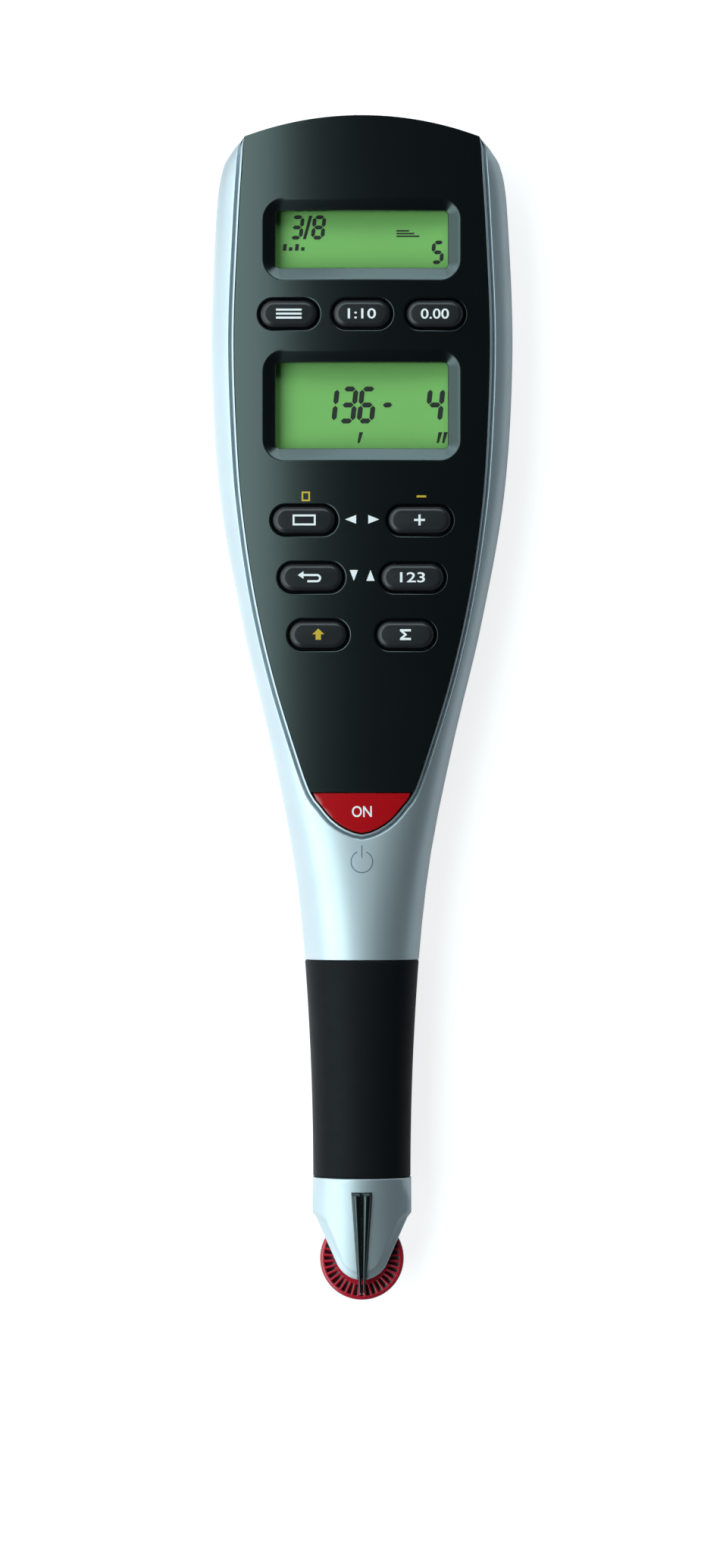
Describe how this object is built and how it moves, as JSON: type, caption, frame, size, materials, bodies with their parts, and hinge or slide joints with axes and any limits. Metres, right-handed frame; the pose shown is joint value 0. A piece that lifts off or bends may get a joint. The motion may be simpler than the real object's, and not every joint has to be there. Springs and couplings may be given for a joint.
{
  "type": "digital plan measurer",
  "caption": "Handheld digital plan measurer with a silver tapered body, black faceplate with displays and keys, rubber grip, and a rolling red measuring wheel at the nose.",
  "frame": {"origin": "middle of the instrument's outline, on the back face that it lies on", "axes": "+X across the face, +Y from the wheel towards the head, +Z out of the face with the displays"},
  "size_m": [0.0472, 0.1854, 0.0167],
  "materials": {
    "silver_paint": "satin silver paint on plastic",
    "gloss_black": "polished black",
    "key_plastic": "satin black",
    "red_key_plastic": "polished red",
    "grip_rubber": "smooth black rubber",
    "clear_red": "polished see-through red",
    "clear_pane": "clear pane",
    "display_green": "reflective green display",
    "circuit_board": "solder mask",
    "chip_black": "moulded black",
    "switch_grey": "moulded grey",
    "capacitor_tan": "fired chip",
    "silicone": "translucent grey silicone",
    "steel": "plated steel",
    "contact_brass": "sprung brass strip",
    "flex_amber": "amber film"
  },
  "bodies": {
    "case": {"front_housing": "silver_paint", "rear_housing": "silver_paint", "nose_front": "silver_paint", "nose_rear": "silver_paint", "faceplate": "gloss_black", "pointer": "gloss_black", "grip_sleeve": "grip_rubber", "upper_lens": "clear_pane", "lower_lens": "clear_pane", "upper_display": "display_green", "lower_display": "display_green", "main_board": "circuit_board", "encoder_board": "circuit_board", "controller_chip": "chip_black", "light_emitter": "chip_black", "light_detector": "chip_black", "battery_tray": "chip_black", "power_switch": "switch_grey", "board_capacitors": "capacitor_tan", "upper_keypad": "silicone", "lower_keypad": "silicone", "upper_connector": "silicone", "lower_connector": "silicone", "timing_crystal": "steel", "upper_cell": "steel", "lower_cell": "steel", "case_screws": "steel", "board_screws": "steel", "nose_screws": "steel", "wheel_axle": "steel", "positive_contact": "contact_brass", "negative_contact": "contact_brass", "flex_cable": "flex_amber"},
    "wheel": {"measuring_wheel": "clear_red"},
    "door": {"battery_door": "silver_paint"},
    "left_top_key_body": {"left_top_key": "key_plastic"},
    "middle_top_key_body": {"middle_top_key": "key_plastic"},
    "right_top_key_body": {"right_top_key": "key_plastic"},
    "area_key_body": {"area_key": "key_plastic"},
    "memory_key_body": {"memory_key": "key_plastic"},
    "recall_key_body": {"recall_key": "key_plastic"},
    "count_key_body": {"count_key": "key_plastic"},
    "shift_key_body": {"shift_key": "key_plastic"},
    "subtotal_key_body": {"subtotal_key": "key_plastic"},
    "on_key_body": {"on_key": "red_key_plastic"}
  },
  "joints": [
    {"name": "wheel_turn", "type": "hinge", "parent": "case", "child": "wheel", "pos_m": [0, -0.08612, 0.008], "axis": [0, 0, 1], "continuous": true},
    {"name": "door_slide", "type": "slide", "parent": "case", "child": "door", "axis": [0, 1, 0], "range_m": [0, 0.052]},
    {"name": "left_top_key_press", "type": "slide", "parent": "case", "child": "left_top_key_body", "axis": [0, 0, -1], "range_m": [0, 0.0007], "stiffness_N_per_m": 1400},
    {"name": "middle_top_key_press", "type": "slide", "parent": "case", "child": "middle_top_key_body", "axis": [0, 0, -1], "range_m": [0, 0.0007], "stiffness_N_per_m": 1400},
    {"name": "right_top_key_press", "type": "slide", "parent": "case", "child": "right_top_key_body", "axis": [0, 0, -1], "range_m": [0, 0.0007], "stiffness_N_per_m": 1400},
    {"name": "area_key_press", "type": "slide", "parent": "case", "child": "area_key_body", "axis": [0, 0, -1], "range_m": [0, 0.0007], "stiffness_N_per_m": 1400},
    {"name": "memory_key_press", "type": "slide", "parent": "case", "child": "memory_key_body", "axis": [0, 0, -1], "range_m": [0, 0.0007], "stiffness_N_per_m": 1400},
    {"name": "recall_key_press", "type": "slide", "parent": "case", "child": "recall_key_body", "axis": [0, 0, -1], "range_m": [0, 0.0007], "stiffness_N_per_m": 1400},
    {"name": "count_key_press", "type": "slide", "parent": "case", "child": "count_key_body", "axis": [0, 0, -1], "range_m": [0, 0.0007], "stiffness_N_per_m": 1400},
    {"name": "shift_key_press", "type": "slide", "parent": "case", "child": "shift_key_body", "axis": [0, 0, -1], "range_m": [0, 0.0007], "stiffness_N_per_m": 1400},
    {"name": "subtotal_key_press", "type": "slide", "parent": "case", "child": "subtotal_key_body", "axis": [0, 0, -1], "range_m": [0, 0.0007], "stiffness_N_per_m": 1400},
    {"name": "on_key_press", "type": "slide", "parent": "case", "child": "on_key_body", "axis": [0, 0, -1], "range_m": [0, 0.0005], "stiffness_N_per_m": 2000}
  ]
}
